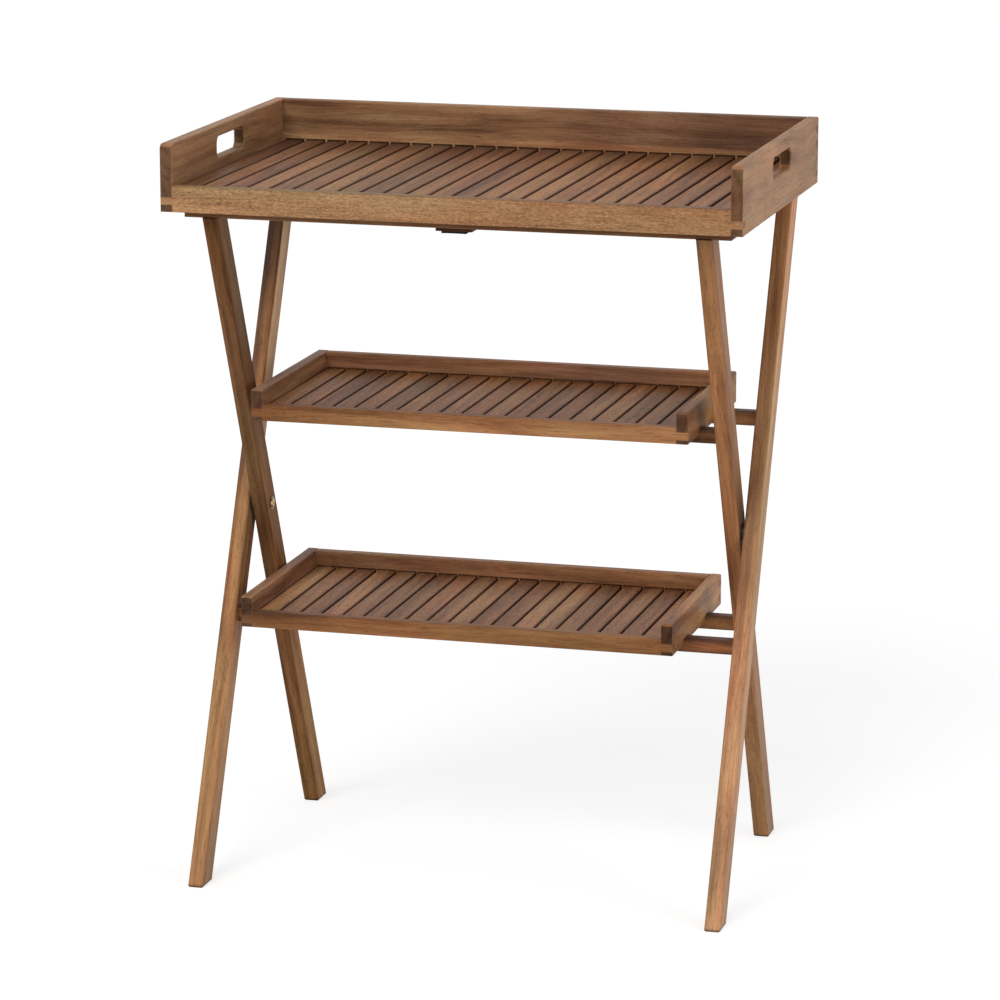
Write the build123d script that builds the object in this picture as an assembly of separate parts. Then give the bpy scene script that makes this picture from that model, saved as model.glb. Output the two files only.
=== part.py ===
from build123d import *
import os
from dataclasses import dataclass
from math import atan, cos, tan

# Folding tray table: a crossed-leg stand that carries a lift-off serving tray and two lift-off shelves.
# Sizes are in millimetres. X is to the right, Y to the back and Z up.
# The origin is on the floor, under the middle of the tray.

# Serving tray
tray_width = 700.0
tray_depth = 433.0
tray_height = 831.5  # floor to the lower edge of the tray's boards
tray_side_height = 81.0
tray_front_height = 31.2
tray_floor = 29.5  # lower edge of the boards to the top of the slats
tray_slat_gap = 3.8  # wanted gap, evened out over the row of slats
tray_finger = 9.0  # height of one finger in the corner joints
tray_first_finger = 8.5  # lower edge of the boards to the first finger
tray_corner_round = 8.0
hand_hole_length = 102.0
hand_hole_height = 25.5
hand_hole_drop = 14.5  # top edge of the side to the top of the hole
hand_hole_round = 9.0
hand_hole_ease = 1.5

# Shelves, two of a kind
shelf_depth = 264.8
shelf_side_gap = 19.7  # from a centred shelf to the inner legs
shelf_side_height = 38.0
shelf_front_height = 20.0
shelf_floor = 17.5
shelf_slat_gap = 2.7
shelf_finger = 9.5
shelf_first_finger = 4.75
shelf_corner_round = 4.0
middle_shelf_height = 568.6  # floor to the lower edge of the shelf's boards
lower_shelf_height = 311.3
lower_shelf_bolt_gap = 1.0  # the lower shelf stands off centre, this far from the left bolt head

# Boards and slats
board_thickness = 14.0
board_round = 2.0
slat_width = 24.0
slat_thickness = 9.0
slat_ease = 1.0
slat_end_gap = 0.5
slat_let_in = 4.0  # a slat's back end, into its pocket in the back board
pocket_side_gap = 0.7
pocket_top_gap = 1.8
ledge_width = 12.0

# Legs
leg_width = 34.0
leg_thickness = 19.5
leg_round = 3.0
foot_ease = 1.2
leg_gap = 4.0  # between an inner leg and the outer leg beside it
pivot_height = 436.5
stand_side_gap = 4.0  # from the outer legs to the inside of the tray

# Rails
top_rail_depth = 33.0
top_rail_height = 18.0
top_rail_drop = 10.0  # how far the top rails hang below the tray's boards
top_rail_inset = 1.5  # rail end to the outer face of the outer legs
shelf_rail_size = 17.5
rail_round = 2.0
tenon_shoulder = 3.0
tenon_length = 11.0
dowel_radius = 4.0
dowel_in_leg = 18.0
dowel_in_rail = 12.0

# Pivot bolts
bolt_radius = 3.0
bolt_head_radius = 5.5
bolt_head_height = 2.5
bolt_head_dome = 1.8
spacer_radius = 10.0
insert_radius = 5.5
insert_length = 12.0

# Cleat and webbing under the middle of the front top rail
cleat_width = 44.0
cleat_thickness = 3.5
strap_width = 31.0
strap_thickness = 2.5
strap_rise = 10.0  # up the back face of the rail
strap_set_back = 1.0  # behind the cleat's front edge

# Seats and clearances
seat_gap = 0.2  # lift-off pieces above the rails that carry them
stop_depth = 14.0
stop_gap = 0.5  # tray stops to the top rails
stop_lift = 1.0  # tray stops above the boards' lower edge
notch_depth = 6.0  # how deep the shelf sides straddle their rails
notch_clearance = 6.0
glue_gap = 0.1  # tenons and dowels in their holes
blind_gap = 0.5  # at the bottom of a blind hole
turn_gap = 0.2  # faces that turn against each other
bolt_running_gap = 0.05
cut_over = 1.0  # how far a cut starts outside the piece

# Places worked out from the sizes above
tray_inside_x = tray_width / 2 - board_thickness
tray_inside_y = tray_depth / 2 - board_thickness
outer_leg_face = tray_inside_x - stand_side_gap
outer_leg_inner = outer_leg_face - leg_thickness
inner_leg_face = outer_leg_inner - leg_gap
inner_leg_inner = inner_leg_face - leg_thickness

top_rail_bottom = tray_height - top_rail_drop
top_rail_top = top_rail_bottom + top_rail_height
top_rail_y = tray_inside_y - stop_depth - stop_gap - top_rail_depth / 2
top_rail_half = outer_leg_face - top_rail_inset
cleat_depth = top_rail_depth - 2 * rail_round
cleat_bottom = top_rail_bottom - cleat_thickness
lean = atan(top_rail_y / (top_rail_bottom - pivot_height))

shelf_width = 2 * (inner_leg_inner - shelf_side_gap)
lower_shelf_shift = bolt_head_height + lower_shelf_bolt_gap - shelf_side_gap
tenon_size = shelf_rail_size - 2 * tenon_shoulder


@dataclass
class Case:
    """An open wooden case with finger-jointed corners and a slatted floor."""
    width: float
    depth: float
    height: float
    x_mid: float
    side_height: float
    front_height: float
    floor: float
    slat_gap: float
    finger: float
    first_finger: float
    corner_round: float

    def fingers(self, end):
        """Heights of the fingers that the front (-1) or back (1) board puts through the sides."""
        tall = self.side_height - 2 * self.first_finger + self.finger
        count = int(tall / (2 * self.finger) + 0.001)
        lows = [self.first_finger + 2 * i * self.finger for i in range(count)]
        limit = self.front_height if end < 0 else self.side_height
        return [(low, low + self.finger) for low in lows if low + self.finger < limit]

    def slat_places(self):
        """Left edges of the slats, spread evenly between the sides."""
        room = self.width - 2 * board_thickness
        count = round((room - self.slat_gap) / (slat_width + self.slat_gap))
        gap = (room - count * slat_width) / (count + 1)
        return [gap - room / 2 + i * (slat_width + gap) for i in range(count)]

    def place(self, shape):
        """From the case's own frame, with z = 0 at its lower edge, to the table's frame."""
        return Pos(self.x_mid, 0, self.height) * shape


tray = Case(tray_width, tray_depth, tray_height, 0.0, tray_side_height, tray_front_height, tray_floor,
            tray_slat_gap, tray_finger, tray_first_finger, tray_corner_round)


def shelf(height, x_mid):
    return Case(shelf_width, shelf_depth, height, x_mid, shelf_side_height, shelf_front_height, shelf_floor,
                shelf_slat_gap, shelf_finger, shelf_first_finger, shelf_corner_round)


middle_shelf = shelf(middle_shelf_height, 0.0)
lower_shelf = shelf(lower_shelf_height, lower_shelf_shift)


def block(corner, opposite):
    """A box between two opposite corners, given in any order."""
    low = [min(a, b) for a, b in zip(corner, opposite)]
    high = [max(a, b) for a, b in zip(corner, opposite)]
    size = [b - a for a, b in zip(low, high)]
    middle = [(a + b) / 2 for a, b in zip(low, high)]
    return Pos(*middle) * Box(*size)


def top_edges(board, axis):
    """The two top edges of a board that run along an axis."""
    return board.edges().filter_by(axis).sort_by(Axis.Z)[-2:]


def finger_block(case, side, end, low, high):
    """The part of a corner between two heights, shared out by the finger joint."""
    corner = (side * case.width / 2, end * case.depth / 2, low)
    inside = (side * (case.width / 2 - board_thickness), end * (case.depth / 2 - board_thickness), high)
    return block(corner, inside)


# Boards of a case
def cross_board(case, end):
    """The front (-1) or back (1) board, its ends cut to fingers."""
    height = case.front_height if end < 0 else case.side_height
    board = block((-case.width / 2, end * case.depth / 2, 0),
                  (case.width / 2, end * (case.depth / 2 - board_thickness), height))
    board = fillet(top_edges(board, Axis.X), board_round)
    for side in (-1, 1):
        waste = finger_block(case, side, end, 0, height)
        for low, high in case.fingers(end):
            waste -= finger_block(case, side, end, low, high)
        board -= waste
    if end > 0:
        board -= slat_pockets(case)
    return board


def slat_pockets(case):
    """Cuts in the back board, one for each slat's end, a little taller than the slat."""
    wall = case.depth / 2 - board_thickness
    low = case.floor - slat_thickness
    high = case.floor + pocket_top_gap
    return [block((x - pocket_side_gap, wall - cut_over, low),
                  (x + slat_width + pocket_side_gap, wall + slat_let_in + slat_end_gap, high))
            for x in case.slat_places()]


def side_board(case, side):
    """A side board: rounded at its front top corner, with sockets for the fingers."""
    outside = side * case.width / 2
    inside = side * (case.width / 2 - board_thickness)
    board = block((outside, -case.depth / 2, 0), (inside, case.depth / 2, case.side_height))
    board = fillet(top_edges(board, Axis.Y), board_round)
    radius = case.corner_round
    centre_y = -case.depth / 2 + radius
    centre_z = case.side_height - radius
    corner = block((outside, -case.depth / 2, case.side_height), (inside, centre_y, centre_z))
    round_bar = Pos((outside + inside) / 2, centre_y, centre_z) * Rot(0, 90, 0)
    board -= corner - round_bar * Cylinder(radius, 2 * board_thickness)
    for end in (-1, 1):
        for low, high in case.fingers(end):
            board -= finger_block(case, side, end, low, high)
    return board


def tray_side(side):
    """A tray side with its hand hole, eased on both faces."""
    board = side_board(tray, side)
    hole_z = tray_side_height - hand_hole_drop - hand_hole_height / 2
    outline = RectangleRounded(hand_hole_length, hand_hole_height, hand_hole_round)
    middle_x = side * (tray_width / 2 - board_thickness / 2)
    hole = extrude(Plane.YZ * outline, board_thickness, both=True)
    board -= Pos(middle_x, 0, hole_z) * hole
    rim = [edge for edge in board.edges() if is_hole_rim(edge, hole_z)]
    return chamfer(rim, hand_hole_ease)


def is_hole_rim(edge, hole_z):
    """True for an edge of the hand hole that lies in a face of the board."""
    middle = edge.center()
    near = abs(middle.Y) <= hand_hole_length / 2 + 1 and abs(middle.Z - hole_z) <= hand_hole_height / 2 + 1
    return near and abs(edge.bounding_box().size.X) < 0.1


def rail_place(case_height, towards):
    """Centre (y, z) of the shelf rail on the legs that lie towards the front (-1) or back (1)."""
    z = case_height + notch_depth - seat_gap - shelf_rail_size / 2
    return towards * abs(z - pivot_height) * tan(lean), z


def shelf_side(case, side):
    """A shelf side, notched to straddle the two rails below it."""
    board = side_board(case, side)
    for towards in (-1, 1):
        rail_y, rail_z = rail_place(case.height, towards)
        half_notch = shelf_rail_size / 2 + notch_clearance
        outside = side * (case.width / 2 + cut_over)
        inside = side * (case.width / 2 - board_thickness - cut_over)
        board -= block((outside, rail_y - half_notch, -cut_over), (inside, rail_y + half_notch, notch_depth))
    return board


def slats(case):
    """The slatted floor: from the front board into the pockets of the back board."""
    wall = case.depth / 2 - board_thickness
    slat = block((0, slat_end_gap - wall, case.floor - slat_thickness),
                 (slat_width, wall + slat_let_in, case.floor))
    slat = chamfer(top_edges(slat, Axis.Y), slat_ease)
    return Compound(children=[case.place(Pos(x, 0, 0) * slat) for x in case.slat_places()])


def cross_strip(case, end, depth, low, high):
    """A strip along the inside of the front (-1) or back (1) board, from side to side."""
    half = case.width / 2 - board_thickness
    wall = end * (case.depth / 2 - board_thickness)
    return case.place(block((-half, wall, low), (half, wall - end * depth, high)))


def tray_bearer(end):
    """The board under the slats' ends that rests on a top rail."""
    depth = stop_depth + stop_gap + top_rail_depth
    return cross_strip(tray, end, depth, top_rail_top + seat_gap - tray_height, tray_floor - slat_thickness)


def tray_stop(end):
    """The strip under a bearer that the top rail bears against, so that the legs can't spread."""
    return cross_strip(tray, end, stop_depth, stop_lift, top_rail_top + seat_gap - tray_height)


def shelf_ledge(case, end):
    return cross_strip(case, end, ledge_width, 0, case.floor - slat_thickness)


# Stand
def rail_bar(half_length, y, bottom, depth, height):
    bar = block((-half_length, y - depth / 2, bottom), (half_length, y + depth / 2, bottom + height))
    return fillet(bar.edges().filter_by(Axis.X), rail_round)


def tenon(side, face, y, z, gap, end_gap):
    """A square tenon that runs outwards from a leg's inner face; with gaps, its mortise."""
    half = tenon_size / 2 + gap
    return block((side * (face - gap), y - half, z - half),
                 (side * (face + tenon_length + end_gap), y + half, z + half))


def shelf_rail(case_height, face, towards):
    """A rail between two legs, tenoned into both."""
    y, z = rail_place(case_height, towards)
    bar = rail_bar(face, y, z - shelf_rail_size / 2, shelf_rail_size, shelf_rail_size)
    for side in (-1, 1):
        bar += tenon(side, face - tenon_shoulder, y, z, 0, tenon_shoulder)
    return bar


def dowel(side, inner_face, towards, gap, end_gap):
    """An upright dowel from a leg's top into the top rail; with gaps, its hole."""
    length = dowel_in_leg + dowel_in_rail + 2 * end_gap
    low = top_rail_bottom - dowel_in_leg - end_gap
    x = side * (inner_face + leg_thickness / 2)
    return Pos(x, towards * top_rail_y, low + length / 2) * Cylinder(dowel_radius + gap, length)


def top_rail(inner_face, towards):
    """A flat rail that lies on two legs' tops."""
    bar = rail_bar(top_rail_half, towards * top_rail_y, top_rail_bottom, top_rail_depth, top_rail_height)
    for side in (-1, 1):
        bar -= dowel(side, inner_face, towards, glue_gap, blind_gap)
    return bar


def dowels(inner_face, towards):
    return Compound(children=[dowel(side, inner_face, towards, 0, 0) for side in (-1, 1)])


def at_pivot(side, shape):
    """From a pivot's own frame to the table's: z = 0 is the inner leg's inner face, +z points inwards."""
    return Pos(side * inner_leg_inner, 0, pivot_height) * Rot(0, -90 * side, 0) * shape


def disc(radius, low, high):
    return Pos(0, 0, (low + high) / 2) * Cylinder(radius, high - low)


outer_face_depth = -(leg_thickness + leg_gap)  # the outer leg's inner face, in the pivot's own frame


def leg(side, inner_face, towards):
    """A leg with its top towards the front (-1) or back (1), cut level at the floor and under the top rail."""
    half_cut = leg_width / 2 / cos(lean)
    foot_y = -towards * pivot_height * tan(lean)
    head_y = towards * top_rail_y
    outline = Polygon((foot_y - half_cut, 0), (foot_y + half_cut, 0),
                      (head_y + half_cut, top_rail_bottom), (head_y - half_cut, top_rail_bottom), align=None)
    inner = side * inner_face
    outer = side * (inner_face + leg_thickness)
    bar = Pos(min(inner, outer), 0, 0) * extrude(Plane.YZ * outline, leg_thickness)
    bar = fillet([edge for edge in bar.edges() if edge.length > pivot_height], leg_round)
    bar = chamfer(bar.faces().sort_by(Axis.Z)[0].edges(), foot_ease)
    return bar - dowel(side, inner_face, towards, glue_gap, blind_gap)


def inner_leg(side):
    """An inner leg, drilled for the pivot bolt and mortised for the rails on its inner face."""
    bar = leg(side, inner_leg_inner, -1)
    bar -= at_pivot(side, disc(bolt_radius + bolt_running_gap, -leg_thickness - leg_gap / 2, leg_gap))
    for case_height, towards in ((middle_shelf_height, -1), (lower_shelf_height, 1)):
        bar -= tenon(side, inner_leg_inner, *rail_place(case_height, towards), glue_gap, blind_gap)
    return bar


def outer_leg(side):
    """An outer leg, with a blind hole for the bolt's threaded insert."""
    bar = leg(side, outer_leg_inner, 1)
    hole_end = outer_face_depth - insert_length - blind_gap
    bar -= at_pivot(side, disc(insert_radius + glue_gap, hole_end, outer_face_depth + leg_gap / 2))
    for case_height, towards in ((middle_shelf_height, 1), (lower_shelf_height, -1)):
        bar -= tenon(side, outer_leg_inner, *rail_place(case_height, towards), glue_gap, blind_gap)
    return bar


def pivot_bolt(side):
    """A bolt with a low domed head on the inner leg and its shank in the outer leg's insert."""
    head = disc(bolt_head_radius, turn_gap, turn_gap + bolt_head_height)
    head = fillet(head.edges().sort_by(Axis.Z)[-1:], bolt_head_dome)
    return at_pivot(side, head + disc(bolt_radius, outer_face_depth - insert_length, turn_gap))


def pivot_spacer(side):
    low = outer_face_depth
    high = -leg_thickness - turn_gap
    return at_pivot(side, disc(spacer_radius, low, high) - disc(bolt_radius + glue_gap, low, high))


def pivot_insert(side):
    low = outer_face_depth - insert_length
    return at_pivot(side, disc(insert_radius, low, outer_face_depth)
                    - disc(bolt_radius + glue_gap, low, outer_face_depth))


def strap_cleat():
    """A thin plate on the flat of the front top rail's underside."""
    return block((-cleat_width / 2, -top_rail_y - cleat_depth / 2, cleat_bottom),
                 (cleat_width / 2, -top_rail_y + cleat_depth / 2, top_rail_bottom))


def rail_strap():
    """A band of webbing that runs under the cleat and up the back face of the front top rail."""
    half = strap_width / 2
    front = -top_rail_y - cleat_depth / 2 + strap_set_back
    rail_back = -top_rail_y + top_rail_depth / 2
    outside = block((-half, front, cleat_bottom - strap_thickness),
                    (half, rail_back + strap_thickness, top_rail_bottom + strap_rise))
    lower_back = outside.edges().filter_by(Axis.X).sort_by(Axis.Z)[:2].sort_by(Axis.Y)[-1:]
    outside = fillet(lower_back, strap_thickness)
    return outside - block((-half, front, cleat_bottom), (half, rail_back, top_rail_bottom + strap_rise))


# All the pieces, by name
pieces = {
    "back_top_rail": top_rail(outer_leg_inner, 1),
    "back_rail_dowels": dowels(outer_leg_inner, 1),
    "middle_back_rail": shelf_rail(middle_shelf_height, outer_leg_inner, 1),
    "lower_front_rail": shelf_rail(lower_shelf_height, outer_leg_inner, -1),
    "front_top_rail": top_rail(inner_leg_inner, -1),
    "front_rail_dowels": dowels(inner_leg_inner, -1),
    "middle_front_rail": shelf_rail(middle_shelf_height, inner_leg_inner, -1),
    "lower_back_rail": shelf_rail(lower_shelf_height, inner_leg_inner, 1),
    "strap_cleat": strap_cleat(),
    "rail_strap": rail_strap(),
    "pivot_bolts": Compound(children=[pivot_bolt(side) for side in (-1, 1)]),
    "pivot_spacers": Compound(children=[pivot_spacer(side) for side in (-1, 1)]),
    "pivot_inserts": Compound(children=[pivot_insert(side) for side in (-1, 1)]),
    "tray_slats": slats(tray),
}
for side_name, side in (("left", -1), ("right", 1)):
    pieces[f"{side_name}_outer_leg"] = outer_leg(side)
    pieces[f"{side_name}_inner_leg"] = inner_leg(side)
    pieces[f"tray_{side_name}_side"] = tray.place(tray_side(side))
for end_name, end in (("front", -1), ("back", 1)):
    pieces[f"tray_{end_name}_board"] = tray.place(cross_board(tray, end))
    pieces[f"tray_{end_name}_bearer"] = tray_bearer(end)
    pieces[f"tray_{end_name}_stop"] = tray_stop(end)
for shelf_name, case in (("middle_shelf", middle_shelf), ("lower_shelf", lower_shelf)):
    pieces[f"{shelf_name}_slats"] = slats(case)
    for side_name, side in (("left", -1), ("right", 1)):
        pieces[f"{shelf_name}_{side_name}_side"] = case.place(shelf_side(case, side))
    for end_name, end in (("front", -1), ("back", 1)):
        pieces[f"{shelf_name}_{end_name}_board"] = case.place(cross_board(case, end))
        pieces[f"{shelf_name}_{end_name}_ledge"] = shelf_ledge(case, end)

os.makedirs("parts", exist_ok=True)
for name, shape in pieces.items():
    export_step(shape, f"parts/{name}.step")
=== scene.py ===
import random
from math import cos, pi, radians, sin, tau

import bmesh
import bpy
from mathutils import Matrix, Vector


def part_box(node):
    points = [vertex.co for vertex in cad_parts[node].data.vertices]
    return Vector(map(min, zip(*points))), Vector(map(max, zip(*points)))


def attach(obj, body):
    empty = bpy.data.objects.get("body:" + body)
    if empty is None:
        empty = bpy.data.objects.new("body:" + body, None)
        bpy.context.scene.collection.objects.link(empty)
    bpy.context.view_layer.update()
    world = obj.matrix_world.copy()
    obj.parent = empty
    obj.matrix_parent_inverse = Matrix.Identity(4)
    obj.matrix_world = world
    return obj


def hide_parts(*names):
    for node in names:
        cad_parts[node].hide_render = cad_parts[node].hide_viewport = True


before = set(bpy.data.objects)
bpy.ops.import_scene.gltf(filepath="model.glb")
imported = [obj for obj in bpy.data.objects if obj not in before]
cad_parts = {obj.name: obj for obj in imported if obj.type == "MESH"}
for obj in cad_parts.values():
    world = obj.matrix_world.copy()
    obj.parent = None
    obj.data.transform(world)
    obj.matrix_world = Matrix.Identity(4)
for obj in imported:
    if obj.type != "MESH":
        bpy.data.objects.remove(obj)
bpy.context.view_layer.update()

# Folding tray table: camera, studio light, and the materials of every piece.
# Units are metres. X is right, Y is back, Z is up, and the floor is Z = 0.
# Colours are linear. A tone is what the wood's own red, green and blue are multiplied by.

# Camera

CAMERA_PLACE = (1.37593, -4.97917, 1.62695)
CAMERA_YAW = 0.26873
CAMERA_PITCH_DOWN = 0.22267
FOCAL_LENGTH_PIXELS = 4333.08
PICTURE_PIXELS = 1000
SENSOR_WIDTH_MM = 36.0

# Studio: the light that the floor and the world give, and the white that they show in the background

FLOOR_HALF_SIZE = 30.0
FLOOR_COLOUR = (0.80, 0.80, 0.80, 1.0)
FLOOR_SEEN = (0.36, 0.36, 0.36, 1.0)
FLOOR_GLOW = 0.72
WORLD_STRENGTH = 0.50
WORLD_SEEN = 1.0
WHITE = (1.0, 1.0, 1.0, 1.0)

# Key light: a wide even sheet of light from the front left, so that the floor is white to its edges

KEY_FROM = (-0.7, -3.3, 2.7)
KEY_TARGET = (0.0, 0.0, 0.0)
KEY_SPREAD = radians(30.0)
KEY_STRENGTH = 1.70

# Fill lamp on the right: place, point it looks at, side lengths, power in watts

FILL_PLACE = (3.2, -1.4, 1.6)
FILL_TARGET = (0.0, 0.0, 0.55)
FILL_SIDES = (1.6, 2.4)
FILL_POWER = 34.0

# Directions

X_AXIS = (1.0, 0.0, 0.0)
Y_AXIS = (0.0, 1.0, 0.0)
Z_AXIS = (0.0, 0.0, 1.0)
LEG_LEAN = radians(24.01)
OUTER_LEG_ALONG = (0.0, sin(LEG_LEAN), cos(LEG_LEAN))
OUTER_LEG_ACROSS = (0.0, -cos(LEG_LEAN), sin(LEG_LEAN))
INNER_LEG_ALONG = (0.0, -sin(LEG_LEAN), cos(LEG_LEAN))
INNER_LEG_ACROSS = (0.0, cos(LEG_LEAN), sin(LEG_LEAN))
DOWN = Vector((0.0, 0.0, -1.0))
BACK = Vector((0.0, 1.0, 0.0))

# Pivot hardware: rings of (radius, height, six-sided or not) in millimetres off the inner leg's face

MM_PER_METRE = 1000
SIXTH_TURN = pi / 3
TURNED_SEGMENTS = 48
SHARP_ANGLE = radians(32.0)
BOLT_RINGS = [
    (3.0, -35.5, False),
    (3.0, 1.0, False),
    (5.2, 1.0, False),
    (5.5, 1.2, False),
    (5.4, 1.7, False),
    (5.0, 2.2, False),
    (4.3, 2.55, False),
    (3.5, 2.7, False),
    (2.5, 2.7, True),
    (2.4, 2.5, True),
    (2.4, 1.1, True),
]
WASHER_RINGS = [
    (8.1, 0.2, False),
    (8.5, 0.4, False),
    (8.5, 0.75, False),
    (8.2, 1.0, False),
]

# Webbing under the front top rail, and the stitches across it

STRAP_THICKNESS = 0.0024
STRAP_BEND = 0.00125
STRAP_RUN_STEPS = 12
STRAP_BEND_STEPS = 6
STRAP_RISE_STEPS = 6
SELVEDGE_STEPS = 6
STRAP_FLAT_STEPS = 12
STRAP_THINNING = 0.16
STITCH_ROWS = (1, 10)
STITCH_COUNT = 8
STITCH_LENGTH = 0.0024
STITCH_RADIUS = 0.00030
STITCH_ARCH = 1.2
STITCH_DIP = 0.8
STITCH_STEPS = 6
STITCH_SIDES = 6

# Brass, nylon, webbing and thread: scales are repeats per metre, roughness is (change over the pattern,
# start), and bump is (strength, depth)

BRIGHT_BRASS = [(0.42, 0.27, 0.11, 1.0), (0.72, 0.52, 0.25, 1.0)]
DULLED_BRASS = [(0.085, 0.050, 0.024, 1.0), (0.20, 0.125, 0.060, 1.0)]
BRUSH_SCALE = (900.0, 2600.0, 2600.0)
TARNISH_SCALE = (180.0, 180.0, 180.0)
TARNISH_STEPS = (0.25, 0.7)
BRASS_ROUGHNESS = (0.25, 0.18)
BRASS_BUMP = (0.15, 0.0002)

NYLON_COLOURS = [(0.3, (0.020, 0.016, 0.013, 1.0)), (0.7, (0.042, 0.034, 0.028, 1.0))]
NYLON_GRAIN_SCALE = (1500.0, 1500.0, 1500.0)
NYLON_MOTTLE_SCALE = (220.0, 220.0, 220.0)
NYLON_ROUGHNESS = (0.2, 0.40)
NYLON_BUMP = (0.2, 0.0002)

WEBBING_COLOURS = [(0.0, (0.008, 0.006, 0.005, 1.0)), (1.0, (0.034, 0.025, 0.019, 1.0))]
WARP_PITCH = 0.0016
WEFT_PITCH = 0.0024
WEBBING_ROUGHNESS = (-0.15, 0.85)
WEBBING_SHEEN = 0.08
WEBBING_GLOSS = 0.12
WEBBING_BUMP = (0.6, 0.0006)

THREAD_COLOURS = [(0.0, (0.055, 0.038, 0.026, 1.0)), (1.0, (0.16, 0.115, 0.080, 1.0))]
THREAD_PITCH = 0.0004
THREAD_ROUGHNESS = (-0.15, 0.75)
THREAD_BUMP = (0.4, 0.0001)

# Wood: what the texture is given for each stick, and what it makes

WOOD_INPUTS = [
    ("Place", "Vector"),
    ("Shift", "Vector"),
    ("Tone", "Color"),
    ("Along", "Vector"),
    ("Figure", "Float"),
    ("Blotch", "Float"),
    ("Fleck", "Float"),
    ("Ends", "Float"),
    ("Highlight", "Float"),
]
WOOD_OUTPUTS = [("Colour", "Color"), ("Roughness", "Float"), ("Normal", "Vector")]

# Wood colours, and the share of a varnish's gloss that oil leaves

DARK_STREAK = (0.092, 0.036, 0.013, 1.0)
BROWN = (0.232, 0.106, 0.040, 1.0)
TAN = (0.362, 0.190, 0.078, 1.0)
GRAIN_COLOURS = [(0.0, DARK_STREAK), (0.5, BROWN), (1.0, TAN)]
HUE_TINTS = [(0.30, (0.95, 1.05, 1.02, 1.0)), (0.70, (1.07, 0.94, 0.92, 1.0))]
PORE = (0.050, 0.021, 0.010, 1.0)
# Pale colour of the edges, a painted highlight
EDGE_HIGHLIGHT = (0.47, 0.29, 0.155, 1.0)
END_SHADE = (0.22, 0.20, 0.22, 1.0)
WOOD_GLOSS = 0.13

# Grain: repeats per metre along the stick, across its face and through it

WAVE_SCALE = (3.2, 9.0, 9.0)
BAND_SCALE = (2.4, 42.0, 42.0)
BLOTCH_SCALE = (7.0, 14.0, 14.0)
HUE_SCALE = (5.0, 26.0, 26.0)
FIBRE_SCALE = (14.0, 520.0, 520.0)
FLECK_SCALE = (250.0, 560.0, 560.0)
PORE_SCALE = (46.0, 1300.0, 1300.0)
RINGS_PER_METRE = 165.0

# Course of the grain: how far apart the sticks lie in the texture, how far waves push the grain,
# and where the heart of the rings lies

STICK_SPREAD = (37.0, 23.0, 29.0)
WAVE_PUSH = 0.030
HALF = (0.5, 0.5, 0.5)
HEART_SPREAD = (0.0, 0.10, 0.05)
HEART_MIDDLE = (0.0, 0.02, -0.055)
HEART_LEAN = 0.035
RING_STEP = (0.25, 1.0)

# Shade of the grain, from 0 for dark to 1 for pale: its middle, and how far each layer moves it

MIDDLE_SHADE = 0.58
BAND_SHADE = 2.3
FIBRE_SHADE = 0.80
RING_SHADE = -0.16
PORE_STEP = (0.60, 0.72)
PORE_SHADE = 0.55

# Sawn ends and the painted highlight on edges: steps of how far a surface has turned, and of the patches
# that catch it

END_TURN = (0.72, 0.96)
BEVEL_SAMPLES = 4
EASED_RADIUS = 0.0011
EDGE_HIGHLIGHT_RADIUS = 0.0026
EDGE_HIGHLIGHT_TURN = (0.015, 0.28)
EDGE_HIGHLIGHT_PATCHES = (0.35, 0.65)
EDGE_HIGHLIGHT_STRENGTHS = (0.06, 0.27)

# Relief and roughness of the wood

FIBRE_RELIEF = 0.6
PORE_RELIEF = -0.8
RING_RELIEF = -0.15
WOOD_BUMP = (0.30, 0.0005)
OILED_ROUGHNESS = 0.38
FIBRE_ROUGHNESS = 0.18
PORE_ROUGHNESS = 0.16
END_ROUGHNESS = 0.30

# Strength of the bands, the blotches, the flecks, the dark ends and the painted edge highlights: usual, and
# by stick

USUAL_GRAIN = {"Figure": 1.0, "Blotch": 0.55, "Fleck": 0.35, "Ends": 0.62, "Highlight": 1.0}
GRAIN = {
    "left_outer_leg": {"Figure": 0.90},
    "right_outer_leg": {"Figure": 0.75},
    "left_inner_leg": {"Figure": 0.80},
    "right_inner_leg": {"Figure": 0.50},
    "tray_front_board": {"Figure": 0.10, "Blotch": 0.25, "Fleck": 1.25, "Ends": 0.25, "Highlight": 0.5},
    "tray_left_side": {"Figure": 0.55, "Blotch": 0.40, "Ends": 0.82, "Highlight": 1.6},
    "tray_right_side": {"Figure": 0.55, "Blotch": 1.10, "Fleck": 0.60, "Ends": 0.76, "Highlight": 2.0},
    "tray_back_board": {"Figure": 0.80, "Blotch": 0.80, "Ends": 0.25},
    "middle_shelf_front_board": {"Ends": 0.25},
    "middle_shelf_back_board": {"Ends": 0.25},
    "middle_shelf_left_side": {"Ends": 0.92},
    "middle_shelf_right_side": {"Ends": 0.72},
    "lower_shelf_front_board": {"Ends": 0.25},
    "lower_shelf_back_board": {"Ends": 0.25},
    "lower_shelf_left_side": {"Ends": 0.94},
    "lower_shelf_right_side": {"Ends": 0.97, "Highlight": 2.4},
}

# Sticks whose oil has gone dull

GLOSS = {"left_inner_leg": 0.04}

# Tones along the legs, from foot to top, and along some boards, from left to right or front to back

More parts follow.
